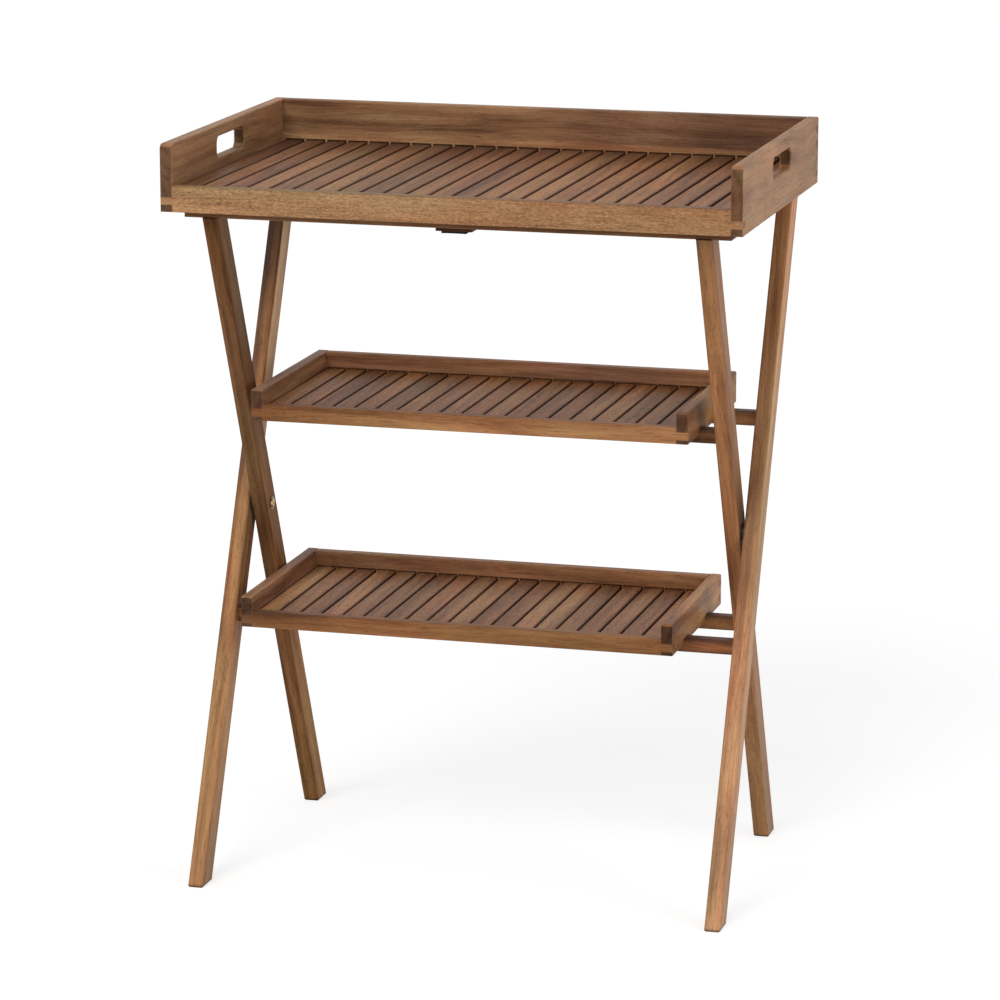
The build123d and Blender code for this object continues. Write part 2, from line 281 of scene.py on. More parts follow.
PLAIN = (1.0, 1.0, 1.0)
PALE = (1.20, 1.24, 1.32)
# DARK paints shade on the rails and bearers that sit under the tray and the shelves
DARK = (0.74, 0.72, 0.76)
# The left outer leg is paler low down and darker just under the tray: painted light and shade
LEFT_OUTER_LEG = [
    (0.05, (1.27, 1.42, 1.50)),
    (0.42, (1.48, 1.53, 1.53)),
    (0.74, (1.15, 1.08, 0.92)),
    (0.80, (1.12, 1.00, 0.85)),
    (0.86, (0.50, 0.42, 0.40)),
]
RIGHT_OUTER_LEG = [
    (0.30, (1.72, 1.88, 2.30)),
    (0.46, (1.00, 1.00, 1.06)),
    (0.66, (1.02, 1.00, 1.06)),
    (0.85, (1.36, 1.27, 1.36)),
]
# The left inner leg is darker from just below the crossing up under the tray: painted shade
LEFT_INNER_LEG = [
    (0.12, (1.04, 1.10, 1.00)),
    (0.25, (1.16, 1.24, 1.40)),
    (0.43, (0.80, 0.80, 0.80)),
    (0.49, (0.56, 0.54, 0.54)),
    (0.65, (0.58, 0.59, 0.66)),
    (0.80, (0.68, 0.70, 0.82)),
    (0.95, (0.63, 0.62, 0.60)),
]
RIGHT_INNER_LEG = [(0.00, (1.28, 1.26, 1.38)), (0.50, (1.29, 1.28, 1.37)), (1.00, (1.30, 1.30, 1.36))]
TRAY_FRONT_BOARD = [(0.10, (1.50, 1.82, 2.27)), (0.50, (1.25, 1.44, 1.74)), (0.90, (1.16, 1.19, 1.40))]
TRAY_BACK_BOARD = [(0.10, (0.92, 0.94, 1.13)), (0.45, (1.02, 1.12, 1.40)), (0.80, (0.68, 0.70, 1.00))]
MIDDLE_FRONT_BOARD = [(0.10, (0.74, 0.64, 0.56)), (0.45, (1.08, 1.02, 1.08)), (0.90, (1.06, 1.00, 1.05))]
MIDDLE_BACK_BOARD = [
    (0.15, (1.58, 1.64, 2.20)),
    (0.45, (1.48, 1.42, 1.76)),
    (0.66, (1.00, 1.07, 1.60)),
    (0.80, (1.10, 1.14, 1.65)),
    (0.92, (1.48, 1.36, 1.66)),
]
MIDDLE_RIGHT_SIDE = [(0.05, (0.78, 0.74, 0.84)), (0.45, (1.15, 1.16, 0.82)), (0.95, (1.16, 1.26, 0.92))]
LOWER_BACK_BOARD = [(0.35, (1.12, 1.20, 1.52)), (0.60, (1.27, 1.26, 1.52)), (0.85, (1.30, 1.20, 1.36))]
LOWER_RIGHT_SIDE = [(0.05, (0.94, 0.94, 1.04)), (0.50, (1.60, 1.60, 1.76)), (0.95, (1.46, 1.46, 1.58))]

# Each stick or board: node, grain along, face across, tone or tones along it

STICKS = [
    ("left_outer_leg", OUTER_LEG_ALONG, OUTER_LEG_ACROSS, LEFT_OUTER_LEG),
    ("right_outer_leg", OUTER_LEG_ALONG, OUTER_LEG_ACROSS, RIGHT_OUTER_LEG),
    ("left_inner_leg", INNER_LEG_ALONG, INNER_LEG_ACROSS, LEFT_INNER_LEG),
    ("right_inner_leg", INNER_LEG_ALONG, INNER_LEG_ACROSS, RIGHT_INNER_LEG),
    ("back_top_rail", X_AXIS, Y_AXIS, PLAIN),
    # Rails and bearers toned DARK carry painted shade from the tray and shelves above
    ("front_top_rail", X_AXIS, Y_AXIS, DARK),
    ("middle_front_rail", X_AXIS, Y_AXIS, DARK),
    ("middle_back_rail", X_AXIS, Y_AXIS, (0.94, 0.92, 0.98)),
    ("lower_front_rail", X_AXIS, Y_AXIS, (0.86, 0.76, 0.80)),
    ("lower_back_rail", X_AXIS, Y_AXIS, PLAIN),
    ("tray_front_board", X_AXIS, Z_AXIS, TRAY_FRONT_BOARD),
    ("tray_back_board", X_AXIS, Z_AXIS, TRAY_BACK_BOARD),
    ("tray_left_side", Y_AXIS, Z_AXIS, (1.32, 1.50, 1.95)),
    ("tray_right_side", Y_AXIS, Z_AXIS, (1.23, 1.27, 1.38)),
    ("tray_front_bearer", X_AXIS, Y_AXIS, DARK),
    ("tray_back_bearer", X_AXIS, Y_AXIS, DARK),
    ("tray_front_stop", X_AXIS, Y_AXIS, PLAIN),
    ("tray_back_stop", X_AXIS, Y_AXIS, PLAIN),
    ("middle_shelf_front_board", X_AXIS, Z_AXIS, MIDDLE_FRONT_BOARD),
    ("middle_shelf_back_board", X_AXIS, Z_AXIS, MIDDLE_BACK_BOARD),
    ("middle_shelf_left_side", Y_AXIS, Z_AXIS, (1.38, 1.46, 1.90)),
    ("middle_shelf_right_side", Y_AXIS, Z_AXIS, MIDDLE_RIGHT_SIDE),
    ("middle_shelf_front_ledge", X_AXIS, Y_AXIS, PLAIN),
    ("middle_shelf_back_ledge", X_AXIS, Y_AXIS, PLAIN),
    ("lower_shelf_front_board", X_AXIS, Z_AXIS, (0.82, 0.75, 0.72)),
    ("lower_shelf_back_board", X_AXIS, Z_AXIS, LOWER_BACK_BOARD),
    ("lower_shelf_left_side", Y_AXIS, Z_AXIS, (1.12, 1.12, 1.45)),
    ("lower_shelf_right_side", Y_AXIS, Z_AXIS, LOWER_RIGHT_SIDE),
    ("lower_shelf_front_ledge", X_AXIS, Y_AXIS, PLAIN),
    ("lower_shelf_back_ledge", X_AXIS, Y_AXIS, PLAIN),
    ("strap_cleat", X_AXIS, Y_AXIS, (0.42, 0.38, 0.36)),
    ("front_rail_dowels", Z_AXIS, X_AXIS, PALE),
    ("back_rail_dowels", Z_AXIS, X_AXIS, PALE),
]

# Left edges of the legs, with painted highlight and shade: how far the edge reaches, and what it does to
# the tone, from foot to top

LEG_LEFT_EDGE_LIGHT = {
    "left_outer_leg": (
        (0.006, 0.011),
        [
            (0.36, (1.00, 1.00, 1.00)),
            (0.46, (1.22, 1.18, 1.10)),
            (0.52, (1.05, 1.05, 1.00)),
            (0.58, (0.56, 0.60, 0.80)),
        ],
    ),
    "left_inner_leg": (
        (0.004, 0.008),
        [
            (0.55, (1.00, 1.00, 1.00)),
            (0.72, (1.50, 1.55, 1.70)),
        ],
    ),
}

# Right faces of the legs: tones from foot to top that paint light on them, and shade near the crossing, and
# how far the surface has turned to the right where they start and where they are full

LEG_RIGHT_FACE_LIGHT = {
    "left_outer_leg": [
        (0.05, (1.27, 1.42, 1.50)),
        (0.32, (2.20, 2.30, 2.45)),
        (0.38, (1.25, 1.28, 1.30)),
        (0.52, (1.15, 1.20, 1.40)),
        (0.60, (2.90, 3.70, 4.50)),
        (0.79, (2.95, 3.80, 4.70)),
        (0.86, (2.30, 2.70, 3.50)),
    ],
    "right_outer_leg": [
        (0.30, (1.85, 2.06, 2.57)),
        (0.46, (1.31, 1.39, 1.56)),
        (0.66, (1.57, 1.69, 1.94)),
        (0.85, (2.11, 2.16, 2.52)),
    ],
    "left_inner_leg": [
        (0.14, (1.55, 1.50, 1.38)),
        (0.27, (1.80, 1.90, 1.75)),
        (0.42, (1.15, 1.10, 1.05)),
        (0.58, (1.25, 1.08, 0.85)),
        (0.70, (0.76, 0.76, 0.86)),
        (0.84, (0.68, 0.70, 0.68)),
        (0.96, (0.92, 0.85, 0.75)),
    ],
    "right_inner_leg": [
        (0.10, (1.25, 1.23, 1.34)),
        (0.42, (1.16, 1.12, 1.22)),
        (0.50, (0.50, 0.48, 0.50)),
        (0.57, (0.55, 0.53, 0.55)),
        (0.65, (1.10, 1.08, 1.18)),
        (1.00, (1.07, 1.03, 1.12)),
    ],
}
LEG_FACE_TURN = (0.70, 0.98)

# Painted contact shade on the feet where they meet the floor: its tone, and the heights between which it
# fades

FOOT_CONTACT_SHADE = (0.28, 0.24, 0.22, 1.0)
FOOT_SHADE_HEIGHTS = (0.0008, 0.0045)

# Tones that change up a piece, painting shade: the shelf rails are darker along their top and bottom edges,
# and the tray's front board is darker on its top edge

SHELF_RAIL_RISE = [
    (0.06, (0.54, 0.58, 0.64)),
    (0.24, (1.04, 1.06, 1.08)),
    (0.45, (1.15, 1.15, 1.12)),
    (0.85, (0.64, 0.64, 0.70)),
    (0.96, (0.40, 0.40, 0.48)),
]
FRONT_BOARD_RISE = [(0.93, PLAIN), (0.985, (0.64, 0.64, 0.60))]
RISES = {
    "middle_front_rail": SHELF_RAIL_RISE,
    "middle_back_rail": SHELF_RAIL_RISE,
    "lower_front_rail": SHELF_RAIL_RISE,
    "lower_back_rail": SHELF_RAIL_RISE,
    "tray_front_board": FRONT_BOARD_RISE,
}

# Boards with a paler band at the foot of the face, painted bounce light off the slats: height of its edge
# above the board's middle, and its tone; how far the edge wavers, and how far below and above it the tones
# blend

BOUNCE_LIGHT_BAND = {"tray_back_board": (-0.0020, (1.22, 1.28, 1.55, 1.0))}
BOUNCE_BAND_WAVER = 0.006
BOUNCE_BAND_BELOW = 0.001
BOUNCE_BAND_ABOVE = 0.002

# Slats: size, number in each row, the tones that chance picks from, and the painted shade of their sides at
# the gaps

SLAT_WIDTH = 0.024
SLAT_COUNTS = {"tray_slats": 24, "middle_shelf_slats": 19, "lower_shelf_slats": 19}
SLAT_TONES = [
    (0.00, (0.62, 0.54, 0.50)),
    (0.25, (0.76, 0.67, 0.64)),
    (0.50, (0.88, 0.76, 0.72)),
    (0.80, (0.98, 0.91, 0.85)),
    (1.00, (1.24, 1.20, 1.06)),
]
SLAT_GAP_SHADE = (0.42, 0.30, 0.25, 1.0)
GAP_SHADE_WIDTH = 0.0022
SLAT_GRAIN = {"Figure": 0.70, "Blotch": 0.45, "Fleck": 1.70}

# Each row of slats: node, seed of its slats' tones, tones of the row from left to right, tones of each
# slat from front to back

TRAY_ROW = [
    (0.00, (1.04, 1.03, 1.02)),
    (0.25, (0.84, 0.82, 0.78)),
    (0.80, (1.30, 1.27, 1.06)),
    (1.00, (1.04, 0.96, 0.88)),
]
MIDDLE_ROW = [(0.0, (1.22, 1.23, 1.30)), (1.0, (1.22, 1.23, 1.30))]
LOWER_ROW = [(0.0, (1.25, 1.40, 1.67)), (1.0, (1.25, 1.40, 1.67))]
# Along the tray's slats the tone darkens towards the back board: painted shade
TRAY_LENGTH = [(0.45, (1.00, 1.00, 1.00)), (0.72, (0.84, 0.86, 1.00)), (0.96, (0.44, 0.49, 0.78))]
MIDDLE_LENGTH = [(0.10, (0.90, 0.87, 0.87)), (0.50, (1.08, 1.12, 1.16)), (0.90, (1.13, 1.19, 1.24))]
LOWER_LENGTH = [(0.05, (0.94, 0.86, 0.82)), (0.50, (1.08, 1.08, 1.10)), (0.95, (0.92, 0.92, 1.02))]
SLAT_ROWS = [
    ("tray_slats", 71.0, TRAY_ROW, TRAY_LENGTH),
    ("middle_shelf_slats", 127.0, MIDDLE_ROW, MIDDLE_LENGTH),
    ("lower_shelf_slats", 313.0, LOWER_ROW, LOWER_LENGTH),
]


class Tree:
    """Adds shader nodes to a node tree and links them."""

    def __init__(self, node_tree):
        self.tree = node_tree

    def put(self, socket, value):
        """Link a socket to another socket, or set its own value."""
        if isinstance(value, bpy.types.NodeSocket):
            self.tree.links.new(value, socket)
        else:
            socket.default_value = value

    def add(self, kind, settings=None, **inputs):
        """Add one node; inputs are named as on the node, with _ for a space."""
        node = self.tree.nodes.new("ShaderNode" + kind)
        for name, value in (settings or {}).items():
            setattr(node, name, value)
        for name, value in inputs.items():
            self.put(node.inputs[name.replace("_", " ")], value)
        return node

    def math(self, operation, *values, clamp=False):
        """A sum on numbers."""
        node = self.add("Math", {"operation": operation, "use_clamp": clamp})
        for socket, value in zip(node.inputs, values):
            self.put(socket, value)
        return node.outputs[0]

    def vector(self, operation, *values):
        """A sum on vectors."""
        node = self.add("VectorMath", {"operation": operation})
        for socket, value in zip(node.inputs, values):
            self.put(socket, value)
        return node.outputs["Value" if operation in ("DOT_PRODUCT", "LENGTH") else "Vector"]

    def coordinates(self, kind):
        """The surface's coordinates: Object for its place in the frame, Normal for where it faces."""
        return self.add("TexCoord").outputs[kind]

    def parts(self, vector):
        """The X, Y and Z of a vector."""
        return self.add("SeparateXYZ", Vector=vector).outputs

    def mix(self, factor, first, second, blend="MIX"):
        """Blend two colours; on the node, their sockets come after those for numbers and vectors."""
        node = self.add("Mix", {"data_type": "RGBA", "blend_type": blend})
        self.put(node.inputs[0], factor)
        self.put(node.inputs[6], first)
        self.put(node.inputs[7], second)
        return node.outputs[2]

    def tint(self, colour, tone):
        """A colour multiplied by a tone."""
        return self.mix(1.0, colour, tone, "MULTIPLY")

    def step(self, value, low, high, start=0.0, end=1.0):
        """Smooth step from start to end while value goes from low to high."""
        node = self.add("MapRange", {"interpolation_type": "SMOOTHSTEP"})
        for socket, number in zip(node.inputs, (value, low, high, start, end)):
            self.put(socket, number)
        return node.outputs[0]

    def ramp(self, factor, stops):
        """Colour ramp through (position, colour) stops."""
        node = self.add("ValToRGB", Fac=factor)
        elements = node.color_ramp.elements
        while len(elements) < len(stops):
            elements.new(0.5)
        for element, (position, colour) in zip(elements, stops):
            element.position = position
            element.color = colour
        return node.outputs["Color"]

    def noise(self, place, scale, detail=2.0, roughness=0.55):
        """Soft noise from 0 to 1, with its own scale along each axis."""
        stretched = self.vector("MULTIPLY", place, scale)
        node = self.add("TexNoise", Vector=stretched, Scale=1.0, Detail=detail, Roughness=roughness)
        return node.outputs[0]

    def swing(self, value, amount):
        """A 0 to 1 value turned into a swing of amount about 0."""
        return self.math("MULTIPLY_ADD", self.math("SUBTRACT", value, 0.5), amount, 0.0)

    def wave(self, value, pitch):
        """Sine wave from -1 to 1 along a length."""
        return self.math("SINE", self.math("MULTIPLY", value, tau / pitch))


def bent_grain(t, place):
    """Slow waves that push the grain sideways."""
    push = t.swing(t.noise(place, WAVE_SCALE), WAVE_PUSH)
    return t.add("CombineXYZ", Y=push, Z=push).outputs[0]


def growth_rings(t, place, shift):
    """Rings about a heart that lies outside the stick and leans a little."""
    heart = t.vector("MULTIPLY_ADD", t.vector("SUBTRACT", shift, HALF), HEART_SPREAD, HEART_MIDDLE)
    from_heart = t.parts(t.vector("SUBTRACT", place, heart))
    leaning = t.math("MULTIPLY_ADD", from_heart["X"], HEART_LEAN, from_heart["Y"])
    across = t.add("CombineXYZ", Y=leaning, Z=from_heart["Z"]).outputs[0]
    count = t.math("MULTIPLY", t.vector("LENGTH", across), RINGS_PER_METRE)
    return t.step(t.math("PINGPONG", count, 1.0), *RING_STEP)


def grain_colour(t, place, rings, fibres, pores, given):
    """Colour of planed long grain: broad bands, blotches, fibres, short flecks and open pores."""
    bands = t.noise(place, BAND_SCALE, detail=4.0, roughness=0.62)
    blotches = t.noise(place, BLOTCH_SCALE)
    flecks = t.noise(place, FLECK_SCALE)
    shade = t.math("MULTIPLY_ADD", t.swing(bands, BAND_SHADE), given["Figure"], MIDDLE_SHADE)
    shade = t.math("MULTIPLY_ADD", t.swing(blotches, 1.0), given["Blotch"], shade)
    shade = t.math("MULTIPLY_ADD", t.swing(flecks, 1.0), given["Fleck"], shade)
    shade = t.math("ADD", shade, t.swing(fibres, FIBRE_SHADE))
    shade = t.math("MULTIPLY_ADD", rings, RING_SHADE, shade)
    hue = t.ramp(t.noise(place, HUE_SCALE), HUE_TINTS)
    colour = t.tint(t.ramp(shade, GRAIN_COLOURS), hue)
    return t.mix(t.math("MULTIPLY", pores, PORE_SHADE), colour, PORE)


def sawn_ends(t, given):
    """How far a surface is a sawn end, which drinks more oil and so is darker and duller."""
    along = t.vector("DOT_PRODUCT", t.coordinates("Normal"), given["Along"])
    return t.math("MULTIPLY", t.step(t.math("ABSOLUTE", along), *END_TURN), given["Ends"])


def rounded_normal(t, radius):
    """The surface's normal as if its edges were rounded."""
    return t.add("Bevel", {"samples": BEVEL_SAMPLES}, Radius=radius).outputs[0]


def painted_edge_highlights(t, place, given):
    """How far an edge is paler with a painted highlight: where the rounded normal leaves the true one, in
    patches.
    """
    flat = t.add("NewGeometry").outputs["True Normal"]
    rounded = rounded_normal(t, EDGE_HIGHLIGHT_RADIUS)
    edge = t.math("SUBTRACT", 1.0, t.vector("DOT_PRODUCT", rounded, flat))
    patches = t.step(t.noise(place, BLOTCH_SCALE), *EDGE_HIGHLIGHT_PATCHES, *EDGE_HIGHLIGHT_STRENGTHS)
    highlight = t.math("MULTIPLY", t.step(edge, *EDGE_HIGHLIGHT_TURN), patches)
    return t.math("MULTIPLY", highlight, given["Highlight"])


def wood_roughness(t, fibres, pores, ends):
    """Fibres, pores and sawn ends are rougher than the oil between them."""
    rough = t.math("MULTIPLY_ADD", fibres, FIBRE_ROUGHNESS, OILED_ROUGHNESS)
    rough = t.math("MULTIPLY_ADD", pores, PORE_ROUGHNESS, rough)
    return t.math("MULTIPLY_ADD", ends, END_ROUGHNESS, rough, clamp=True)


def wood_normal(t, rings, fibres, pores):
    """Relief of the fibres, pores and rings, on eased edges."""
    height = t.math("MULTIPLY_ADD", pores, PORE_RELIEF, t.math("MULTIPLY", fibres, FIBRE_RELIEF))
    height = t.math("MULTIPLY_ADD", rings, RING_RELIEF, height)
    strength, depth = WOOD_BUMP
    eased = rounded_normal(t, EASED_RADIUS)
    return t.add("Bump", Strength=strength, Distance=depth, Height=height, Normal=eased).outputs[0]


def wood_group():
    """Oiled hardwood as a solid texture.

    Place is in metres about the piece's middle: X along the grain, Y across the face, Z through it.
    Shift is a different vector for each stick of wood, and Tone tints it. Along is the grain's direction.
    Figure, Blotch, Fleck, Ends and Highlight set how strong the bands, blotches, flecks, dark sawn ends
    and the painted highlights on the edges are.
    """
    tree = bpy.data.node_groups.new("oiled_wood", "ShaderNodeTree")
    for direction, sockets in (("INPUT", WOOD_INPUTS), ("OUTPUT", WOOD_OUTPUTS)):
        for name, kind in sockets:
            tree.interface.new_socket(name, in_out=direction, socket_type="NodeSocket" + kind)
    t = Tree(tree)
    given = tree.nodes.new("NodeGroupInput").outputs
    apart = t.vector("MULTIPLY_ADD", given["Shift"], STICK_SPREAD, given["Place"])
    push = bent_grain(t, apart)
    place = t.vector("ADD", apart, push)
    rings = growth_rings(t, t.vector("ADD", given["Place"], push), given["Shift"])
    fibres = t.noise(place, FIBRE_SCALE, detail=3.0, roughness=0.6)
    pores = t.step(t.noise(place, PORE_SCALE, detail=1.0), *PORE_STEP)
    ends = sawn_ends(t, given)
    colour = grain_colour(t, place, rings, fibres, pores, given)
    colour = t.tint(colour, given["Tone"])
    colour = t.mix(ends, colour, END_SHADE, "MULTIPLY")
    # Paint a pale highlight along the edges, in patches
    colour = t.mix(painted_edge_highlights(t, place, given), colour, EDGE_HIGHLIGHT)
    made = tree.nodes.new("NodeGroupOutput").inputs
    t.put(made["Colour"], colour)
    t.put(made["Roughness"], wood_roughness(t, fibres, pores, ends))
    t.put(made["Normal"], wood_normal(t, rings, fibres, pores))
    return tree


WOOD = wood_group()


def empty_tree(owner):
    """The node tree of a material or world, with nothing in it yet."""
    owner.use_nodes = True
    owner.node_tree.nodes.clear()
    return Tree(owner.node_tree)


def new_material(name):
    """A node material with one surface shader."""
    material = bpy.data.materials.new(name)
    t = empty_tree(material)
    shader = t.add("BsdfPrincipled")
    output = t.add("OutputMaterial", Surface=shader.outputs[0])
    output.is_active_output = True
    return material, t, shader


def dress_wood(t, shader, place, shift, tone, along, grain, gloss=WOOD_GLOSS):
    """Drive a shader with the wood texture; grain holds the strengths that differ from the usual ones."""
    wood = t.add("Group", {"node_tree": WOOD}, Place=place, Shift=shift, Tone=tone, Along=along)
    for name, strength in {**USUAL_GRAIN, **grain}.items():
        wood.inputs[name].default_value = strength
    t.put(shader.inputs["Base Color"], wood.outputs["Colour"])
    t.put(shader.inputs["Roughness"], wood.outputs["Roughness"])
    t.put(shader.inputs["Normal"], wood.outputs["Normal"])
    shader.inputs["Specular IOR Level"].default_value = gloss


def grain_turn(along, across):
    """The turn that takes X to along and Y to across."""
    along = Vector(along).normalized()
    across = Vector(across).normalized()
    return Matrix((along, across, along.cross(across))).transposed().to_euler()


def local_place(t, node_name, along, across):
    """Object coordinates about a node's middle, turned so that X runs along its grain."""
    low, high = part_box(node_name)
    mapping = t.add("Mapping", {"vector_type": "TEXTURE"}, Vector=t.coordinates("Object"))
    mapping.inputs["Location"].default_value = (Vector(low) + Vector(high)) / 2
    mapping.inputs["Rotation"].default_value = grain_turn(along, across)
    return mapping.outputs[0]


def toned(stops):
    """Stops of (position, tone) as a colour ramp takes them."""
    return [(position, (*tone, 1.0)) for position, tone in stops]


def tone_along(t, node_name, place, along, stops):
    """Tone that changes along a stick: stops of (share of its length, tone)."""
    low, high = (Vector(corner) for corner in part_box(node_name))
    reach = sum(abs(part) * side for part, side in zip(along, high - low)) / 2
    share = t.add("MapRange", Value=t.parts(place)["X"], From_Min=-reach, From_Max=reach)
    return t.ramp(share.outputs[0], toned(stops))


def tone_up(t, node_name, stops):
    """Tone that changes up a piece: stops of (share of its height, tone)."""
    low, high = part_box(node_name)
    height = t.parts(t.coordinates("Object"))["Z"]
    share = t.add("MapRange", Value=height, From_Min=low[2], From_Max=high[2])
    return t.ramp(share.outputs[0], toned(stops))


def paint_bounce_band(t, place, tone, edge, pale):
    """A paler strip below a height on the face, with a wavering edge: painted bounce light off the slats.
    """
    waver = t.swing(t.noise(place, HUE_SCALE), BOUNCE_BAND_WAVER)
    height = t.math("ADD", t.parts(place)["Y"], waver)
    return t.mix(t.step(height, edge - BOUNCE_BAND_BELOW, edge + BOUNCE_BAND_ABOVE), pale, tone)


def leg_tone(t, node_name, place, along, tone):
    """A leg's left edge and right face in tones that paint highlight, light and shade, and painted contact
    shade at the floor.
    """
    at = t.parts(t.coordinates("Object"))
    # Paint a highlight, and some shade, along the leg's left edge
    if node_name in LEG_LEFT_EDGE_LIGHT:
        reach, edge_stops = LEG_LEFT_EDGE_LIGHT[node_name]
        from_left = t.math("SUBTRACT", at["X"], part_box(node_name)[0][0])
        edge_tone = t.tint(tone, tone_along(t, node_name, place, along, edge_stops))
        tone = t.mix(t.step(from_left, *reach, 1.0, 0.0), tone, edge_tone)
    # The right face takes tones that paint light on it, and shade near the crossing
    to_right = t.parts(t.coordinates("Normal"))["X"]
    face_light = tone_along(t, node_name, place, along, LEG_RIGHT_FACE_LIGHT[node_name])
    tone = t.mix(t.step(to_right, *LEG_FACE_TURN), tone, face_light)
    # Painted contact shade where the foot meets the floor
    return t.mix(t.step(at["Z"], *FOOT_SHADE_HEIGHTS), t.tint(tone, FOOT_CONTACT_SHADE), tone)


def stick_material(node_name, along, across, tone):
    """Wood for a node that is one stick or board."""
    draw = random.Random("wood " + node_name)
    shift = [draw.random() for _ in range(3)]
    material, t, shader = new_material("wood_" + node_name)
    place = local_place(t, node_name, along, across)
    if isinstance(tone, list):
        tone = tone_along(t, node_name, place, along, tone)
    else:
        tone = (*tone, 1.0)
    # Paint bounce light off the slats as a paler band on the board
    if node_name in BOUNCE_LIGHT_BAND:
        tone = paint_bounce_band(t, place, tone, *BOUNCE_LIGHT_BAND[node_name])
    if node_name in LEG_RIGHT_FACE_LIGHT:
        tone = leg_tone(t, node_name, place, along, tone)
    # Painted shade along the tops and bottoms of the pieces listed in RISES
    if node_name in RISES:
        tone = t.tint(tone, tone_up(t, node_name, RISES[node_name]))
    gloss = GLOSS.get(node_name, WOOD_GLOSS)
    dress_wood(t, shader, place, shift, tone, along, GRAIN.get(node_name, {}), gloss)
    return material


def slat_steps(t, node_name):
    """Which slat of the row a point lies on, from the left, and how far it is from the slat's middle."""
    low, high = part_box(node_name)
    count = SLAT_COUNTS[node_name]
    gap = (high[0] - low[0] - count * SLAT_WIDTH) / (count - 1)
    pitch = SLAT_WIDTH + gap
    x = t.parts(t.coordinates("Object"))["X"]
    steps = t.math("DIVIDE", t.math("SUBTRACT", x, low[0] - gap / 2), pitch)
    share = t.math("SUBTRACT", t.math("FRACT", steps), 0.5)
    from_middle = t.math("MULTIPLY", t.math("ABSOLUTE", share), pitch)
    return t.math("FLOOR", steps), from_middle


def slat_material(node_name, seed, row_tones, length_tones):
    """Wood for a row of slats, each with its own grain and tone, and painted shade towards and in the gaps.
    """
    material, t, shader = new_material("wood_" + node_name)
    place = local_place(t, node_name, Y_AXIS, X_AXIS)
    number, from_middle = slat_steps(t, node_name)
    seeded = t.math("ADD", number, seed)
    chance = t.add("TexWhiteNoise", {"noise_dimensions": "1D"}, W=seeded).outputs
    in_row = t.math("DIVIDE", number, SLAT_COUNTS[node_name] - 1)
    tone = t.tint(t.ramp(chance["Value"], toned(SLAT_TONES)), t.ramp(in_row, toned(row_tones)))
    tone = t.tint(tone, tone_along(t, node_name, place, Y_AXIS, length_tones))
    # Painted shade on the slats' edges at the gaps
    gap_shade = t.step(from_middle, SLAT_WIDTH / 2 - GAP_SHADE_WIDTH, SLAT_WIDTH / 2)
    tone = t.mix(gap_shade, tone, t.tint(tone, SLAT_GAP_SHADE))
    dress_wood(t, shader, place, chance["Color"], tone, Y_AXIS, SLAT_GRAIN)
    return material


def dress_shader(t, shader, colour, pattern, roughness, relief, bump):
    """Drive a shader with a colour, a roughness that follows a pattern, and the bump of a relief."""
    change, start = roughness
    strength, depth = bump
    raised = t.add("Bump", Strength=strength, Distance=depth, Height=relief)
    t.put(shader.inputs["Base Color"], colour)
    t.put(shader.inputs["Roughness"], t.math("MULTIPLY_ADD", pattern, change, start))
    t.put(shader.inputs["Normal"], raised.outputs[0])


def brass_material(name, colours):
    """Brushed brass between two colours."""
    material, t, shader = new_material(name)
    place = t.coordinates("Object")
    brushed = t.noise(place, BRUSH_SCALE)
    dull = t.noise(place, TARNISH_SCALE, detail=3.0)
    colour = t.ramp(dull, list(zip(TARNISH_STEPS, colours)))
    dress_shader(t, shader, colour, dull, BRASS_ROUGHNESS, brushed, BRASS_BUMP)
    shader.inputs["Metallic"].default_value = 1.0
    return material


BRASS = brass_material("brushed_brass", BRIGHT_BRASS)


def nylon_material(name):
    """Moulded dark nylon, faintly mottled."""
    material, t, shader = new_material(name)
    place = t.coordinates("Object")
    grain = t.noise(place, NYLON_GRAIN_SCALE)
    colour = t.ramp(t.noise(place, NYLON_MOTTLE_SCALE), NYLON_COLOURS)
    dress_shader(t, shader, colour, grain, NYLON_ROUGHNESS, grain, NYLON_BUMP)
    return material


def webbing_material(name):
    """Dark brown woven webbing: ribs across, threads along."""
    material, t, shader = new_material(name)
    at = t.parts(t.coordinates("Object"))
    length = t.math("ADD", at["Y"], at["Z"])
    crossing = t.math("MULTIPLY", t.wave(at["X"], WARP_PITCH), t.wave(length, WEFT_PITCH))
    weave = t.math("MULTIPLY_ADD", crossing, 0.5, 0.5)
    colour = t.ramp(weave, WEBBING_COLOURS)
    dress_shader(t, shader, colour, weave, WEBBING_ROUGHNESS, weave, WEBBING_BUMP)
    shader.inputs["Sheen Weight"].default_value = WEBBING_SHEEN
    shader.inputs["Specular IOR Level"].default_value = WEBBING_GLOSS
    return material


def thread_material(name):
    """Twisted dark thread."""
    material, t, shader = new_material(name)
    at = t.parts(t.coordinates("Object"))
    twist = t.math("ADD", at["X"], t.math("ADD", at["Y"], at["Z"]))
    strands = t.math("MULTIPLY_ADD", t.wave(twist, THREAD_PITCH), 0.5, 0.5)
    colour = t.ramp(strands, THREAD_COLOURS)
    dress_shader(t, shader, colour, strands, THREAD_ROUGHNESS, strands, THREAD_BUMP)
    return material


def wear(node_name, material):
    """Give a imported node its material."""
    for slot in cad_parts[node_name].material_slots:
        slot.material = material


def dress_nodes():
    """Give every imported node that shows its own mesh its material."""
    for node_name, along, across, tone in STICKS:
        wear(node_name, stick_material(node_name, along, across, tone))
    for node_name, seed, row_tones, length_tones in SLAT_ROWS:
        wear(node_name, slat_material(node_name, seed, row_tones, length_tones))
    wear("pivot_inserts", BRASS)
    wear("pivot_spacers", nylon_material("moulded_nylon"))


def new_object(name, data):
    """A new object in the scene."""
    made = bpy.data.objects.new(name, data)
    bpy.context.scene.collection.objects.link(made)
    return made


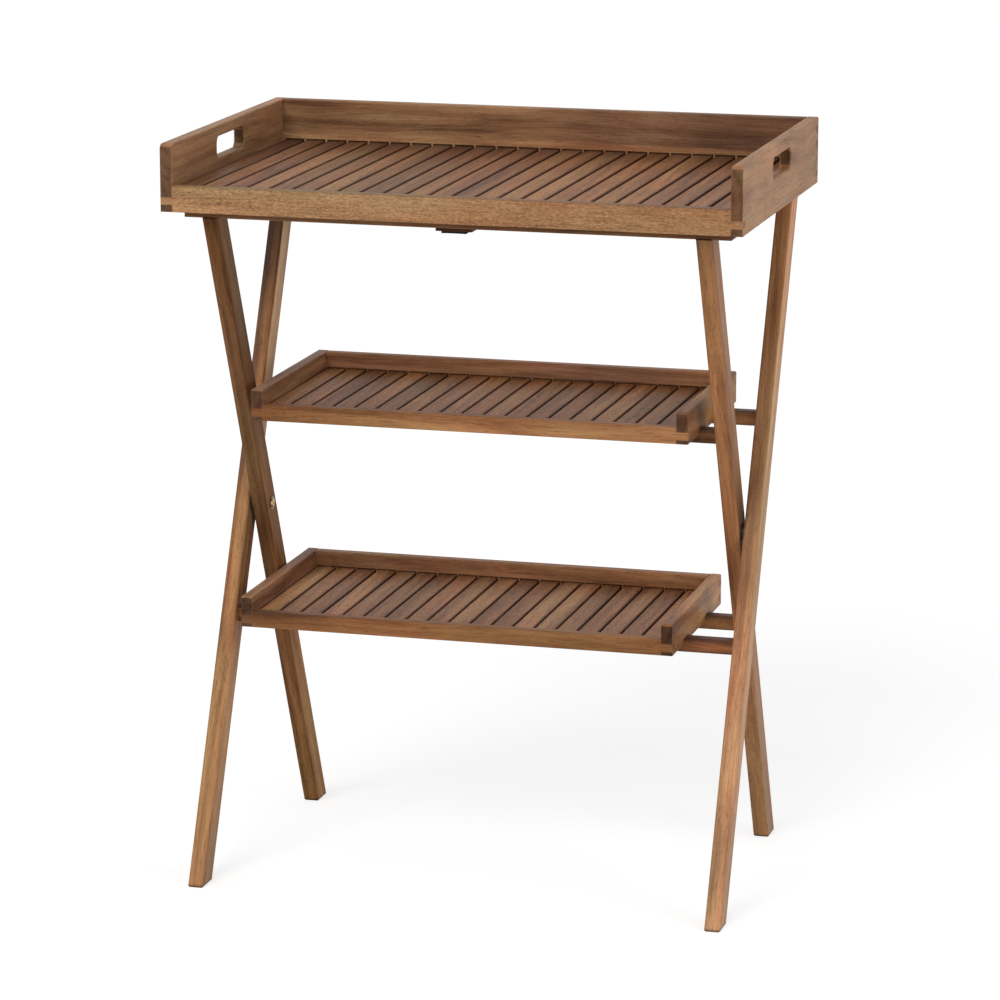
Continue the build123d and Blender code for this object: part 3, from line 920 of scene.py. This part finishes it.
def join_rings(mesh, rings):
    """Skin a row of rings with faces and close both ends."""
    count = len(rings[0])
    mesh.faces.new(reversed(rings[0]))
    for ring, following in zip(rings, rings[1:]):
        for i in range(count):
            j = (i + 1) % count
            mesh.faces.new((ring[i], ring[j], following[j], following[i]))
    mesh.faces.new(rings[-1])


def finished_piece(name, mesh, material, body):
    """Turn a bmesh into a smooth piece that rides on a body."""
    bmesh.ops.recalc_face_normals(mesh, faces=mesh.faces[:])
    data = bpy.data.meshes.new(name)
    mesh.to_mesh(data)
    mesh.free()
    data.materials.append(material)
    for polygon in data.polygons:
        polygon.use_smooth = True
    data.set_sharp_from_angle(angle=SHARP_ANGLE)
    piece = new_object(name, data)
    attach(piece, body)
    return piece


def ring_radius(angle, radius, six_sided):
    """Radius of a ring at an angle: round, or a hexagon as far from the middle at its flats."""
    if not six_sided:
        return radius
    return radius / cos((angle + SIXTH_TURN / 2) % SIXTH_TURN - SIXTH_TURN / 2)


def add_turned(mesh, profile, place, outwards):
    """Add a turned solid to a bmesh, from rings of (radius, height, six-sided or not) in millimetres."""
    turn = Vector(outwards).to_track_quat("Z", "Y").to_matrix().to_4x4()
    to_place = Matrix.Translation(place) @ turn
    rings = []
    for radius, height, six_sided in profile:
        ring = []
        for i in range(TURNED_SEGMENTS):
            angle = tau * i / TURNED_SEGMENTS
            r = ring_radius(angle, radius, six_sided)
            point = Vector((r * cos(angle), r * sin(angle), height)) / MM_PER_METRE
            ring.append(mesh.verts.new(to_place @ point))
        rings.append(ring)
    join_rings(mesh, rings)


def turned_pair(name, profile, material):
    """The same turned solid on the inner faces of both inner legs, at the pivot."""
    bolt_low, bolt_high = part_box("pivot_bolts")
    pivot_height = (bolt_low[2] + bolt_high[2]) / 2
    left_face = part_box("left_inner_leg")[1][0]
    mesh = bmesh.new()
    for side in (-1, 1):
        place = (-side * left_face, 0.0, pivot_height)
        add_turned(mesh, profile, place, (-side, 0.0, 0.0))
    return finished_piece(name, mesh, material, "outer_frame")


def add_bolts():
    """Pivot bolts with a hexagon socket, on dulled washers."""
    bolts = turned_pair("pivot_bolt_pair", BOLT_RINGS, BRASS)
    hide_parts("pivot_bolts")
    turned_pair("pivot_washer_pair", WASHER_RINGS, brass_material("dulled_brass", DULLED_BRASS))


def strap_line():
    """Middle line of the webbing: back under the cleat, round the corner and up the rail's back face.

    Each point has its place and the direction that looks out of the webbing there.
    """
    low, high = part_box("rail_strap")
    level = low[2] + STRAP_THICKNESS / 2
    back = high[1] - STRAP_THICKNESS / 2
    corner = Vector((0.0, back - STRAP_BEND, level + STRAP_BEND))
    line = []
    for i in range(STRAP_RUN_STEPS + 1):
        y = low[1] + (corner.y - low[1]) * i / STRAP_RUN_STEPS
        line.append((Vector((0.0, y, level)), DOWN))
    for i in range(1, STRAP_BEND_STEPS + 1):
        angle = pi / 2 * i / STRAP_BEND_STEPS
        out = Vector((0.0, sin(angle), -cos(angle)))
        line.append((corner + out * STRAP_BEND, out))
    for i in range(1, STRAP_RISE_STEPS + 1):
        z = corner.z + (high[2] - corner.z) * i / STRAP_RISE_STEPS
        line.append((Vector((0.0, back, z)), BACK))
    return line


def strap_section():
    """Points round the webbing's section: round selvedges, and a thinner stretch between them."""
    half = STRAP_THICKNESS / 2
    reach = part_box("rail_strap")[1][0] - half
    points = []
    for side in (1, -1):
        for i in range(SELVEDGE_STEPS + 1):
            angle = pi * i / SELVEDGE_STEPS - pi / 2
            points.append((side * (reach + half * cos(angle)), side * half * sin(angle)))
        for i in range(1, STRAP_FLAT_STEPS):
            share = i / STRAP_FLAT_STEPS
            thin = 1 - STRAP_THINNING * sin(pi * share)
            points.append((side * reach * (1 - 2 * share), side * half * thin))
    return points


def add_stitch(mesh, start, out):
    """One stitch of thread: an arched tube to the right that dips into the webbing at both ends."""
    rings = []
    for i in range(STITCH_STEPS + 1):
        share = i / STITCH_STEPS
        rise = STITCH_RADIUS * (STITCH_ARCH * sin(pi * share) - STITCH_DIP)
        middle = start + Vector((STITCH_LENGTH * share, 0.0, 0.0)) + out * rise
        ring = []
        for j in range(STITCH_SIDES):
            angle = tau * j / STITCH_SIDES
            offset = out * cos(angle) + BACK * sin(angle)
            ring.append(mesh.verts.new(middle + offset * STITCH_RADIUS))
        rings.append(ring)
    join_rings(mesh, rings)


def add_webbing(line):
    """Webbing along a line, in place of the plain strap."""
    mesh = bmesh.new()
    rings = []
    for place, out in line:
        ring = []
        for across, height in strap_section():
            ring.append(mesh.verts.new(place + Vector((across, 0.0, 0.0)) + out * height))
        rings.append(ring)
    join_rings(mesh, rings)
    material = webbing_material("woven_webbing")
    strap = finished_piece("rail_webbing", mesh, material, "inner_frame")
    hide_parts("rail_strap")


def add_stitches(line):
    """Rows of stitches across the webbing."""
    mesh = bmesh.new()
    low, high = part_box("rail_strap")
    pitch = (high[0] - low[0]) / STITCH_COUNT
    surface = STRAP_THICKNESS / 2 * (1 - STRAP_THINNING)
    for row in STITCH_ROWS:
        place, out = line[row]
        for i in range(STITCH_COUNT):
            x = low[0] + pitch * (i + 0.5) - STITCH_LENGTH / 2
            add_stitch(mesh, Vector((x, place.y, place.z)) + out * surface, out)
    finished_piece("rail_webbing_stitches", mesh, thread_material("thread"), "inner_frame")


def add_strap():
    """The webbing and its stitches."""
    line = strap_line()
    add_webbing(line)
    add_stitches(line)


def add_camera():
    """Camera at the photograph's viewing angle."""
    data = bpy.data.cameras.new("photo_camera")
    data.sensor_width = SENSOR_WIDTH_MM
    data.lens = FOCAL_LENGTH_PIXELS / PICTURE_PIXELS * SENSOR_WIDTH_MM
    camera = new_object("photo_camera", data)
    camera.location = CAMERA_PLACE
    camera.rotation_euler = (pi / 2 - CAMERA_PITCH_DOWN, 0.0, CAMERA_YAW)
    bpy.context.scene.camera = camera


def sees_background(t):
    """1 for rays from the camera, and for reflected and transmitted ones, which show the same white."""
    path = t.add("LightPath").outputs
    seen = t.math("MAXIMUM", path["Is Camera Ray"], path["Is Glossy Ray"])
    return t.math("MAXIMUM", seen, path["Is Transmission Ray"])


def floor_material():
    """Matt floor that keeps the shadow, and glows where it is seen so that it is white."""
    material = bpy.data.materials.new("studio_floor")
    t = empty_tree(material)
    seen = sees_background(t)
    matt = t.add("BsdfDiffuse", Color=t.mix(seen, FLOOR_COLOUR, FLOOR_SEEN))
    glow = t.add("Emission", Color=WHITE, Strength=t.math("MULTIPLY", seen, FLOOR_GLOW))
    both = t.add("AddShader")
    t.put(both.inputs[0], matt.outputs[0])
    t.put(both.inputs[1], glow.outputs[0])
    t.add("OutputMaterial", Surface=both.outputs[0])
    return material


def add_floor():
    """A wide flat floor under the feet."""
    mesh = bpy.data.meshes.new("studio_floor")
    half = FLOOR_HALF_SIZE
    corners = [(-half, -half, 0.0), (half, -half, 0.0), (half, half, 0.0), (-half, half, 0.0)]
    mesh.from_pydata(corners, [], [(0, 1, 2, 3)])
    mesh.materials.append(floor_material())
    floor = new_object("studio_floor", mesh)


def add_world():
    """Even light from all round, and a white background."""
    world = bpy.data.worlds.new("white_studio")
    t = empty_tree(world)
    strength = t.add("MapRange", Value=sees_background(t), To_Min=WORLD_STRENGTH, To_Max=WORLD_SEEN)
    background = t.add("Background", Color=WHITE, Strength=strength.outputs[0])
    t.add("OutputWorld", Surface=background.outputs[0])
    bpy.context.scene.world = world


def add_lamp(data, place, target):
    """Put a lamp in its place and turn it towards a point."""
    lamp = new_object(data.name, data)
    lamp.location = place
    look = Vector(target) - Vector(place)
    lamp.rotation_euler = look.to_track_quat("-Z", "Y").to_euler()


def add_lamps():
    """The key light and the fill lamp."""
    key = bpy.data.lights.new("key_light", "SUN")
    key.angle = KEY_SPREAD
    key.energy = KEY_STRENGTH
    add_lamp(key, KEY_FROM, KEY_TARGET)
    fill = bpy.data.lights.new("fill_lamp", "AREA")
    fill.shape = "RECTANGLE"
    fill.size, fill.size_y = FILL_SIDES
    fill.energy = FILL_POWER
    add_lamp(fill, FILL_PLACE, FILL_TARGET)


bpy.context.scene.view_settings.view_transform = "Standard"
add_camera()
add_world()
add_lamps()
add_floor()
dress_nodes()
add_bolts()
add_strap()
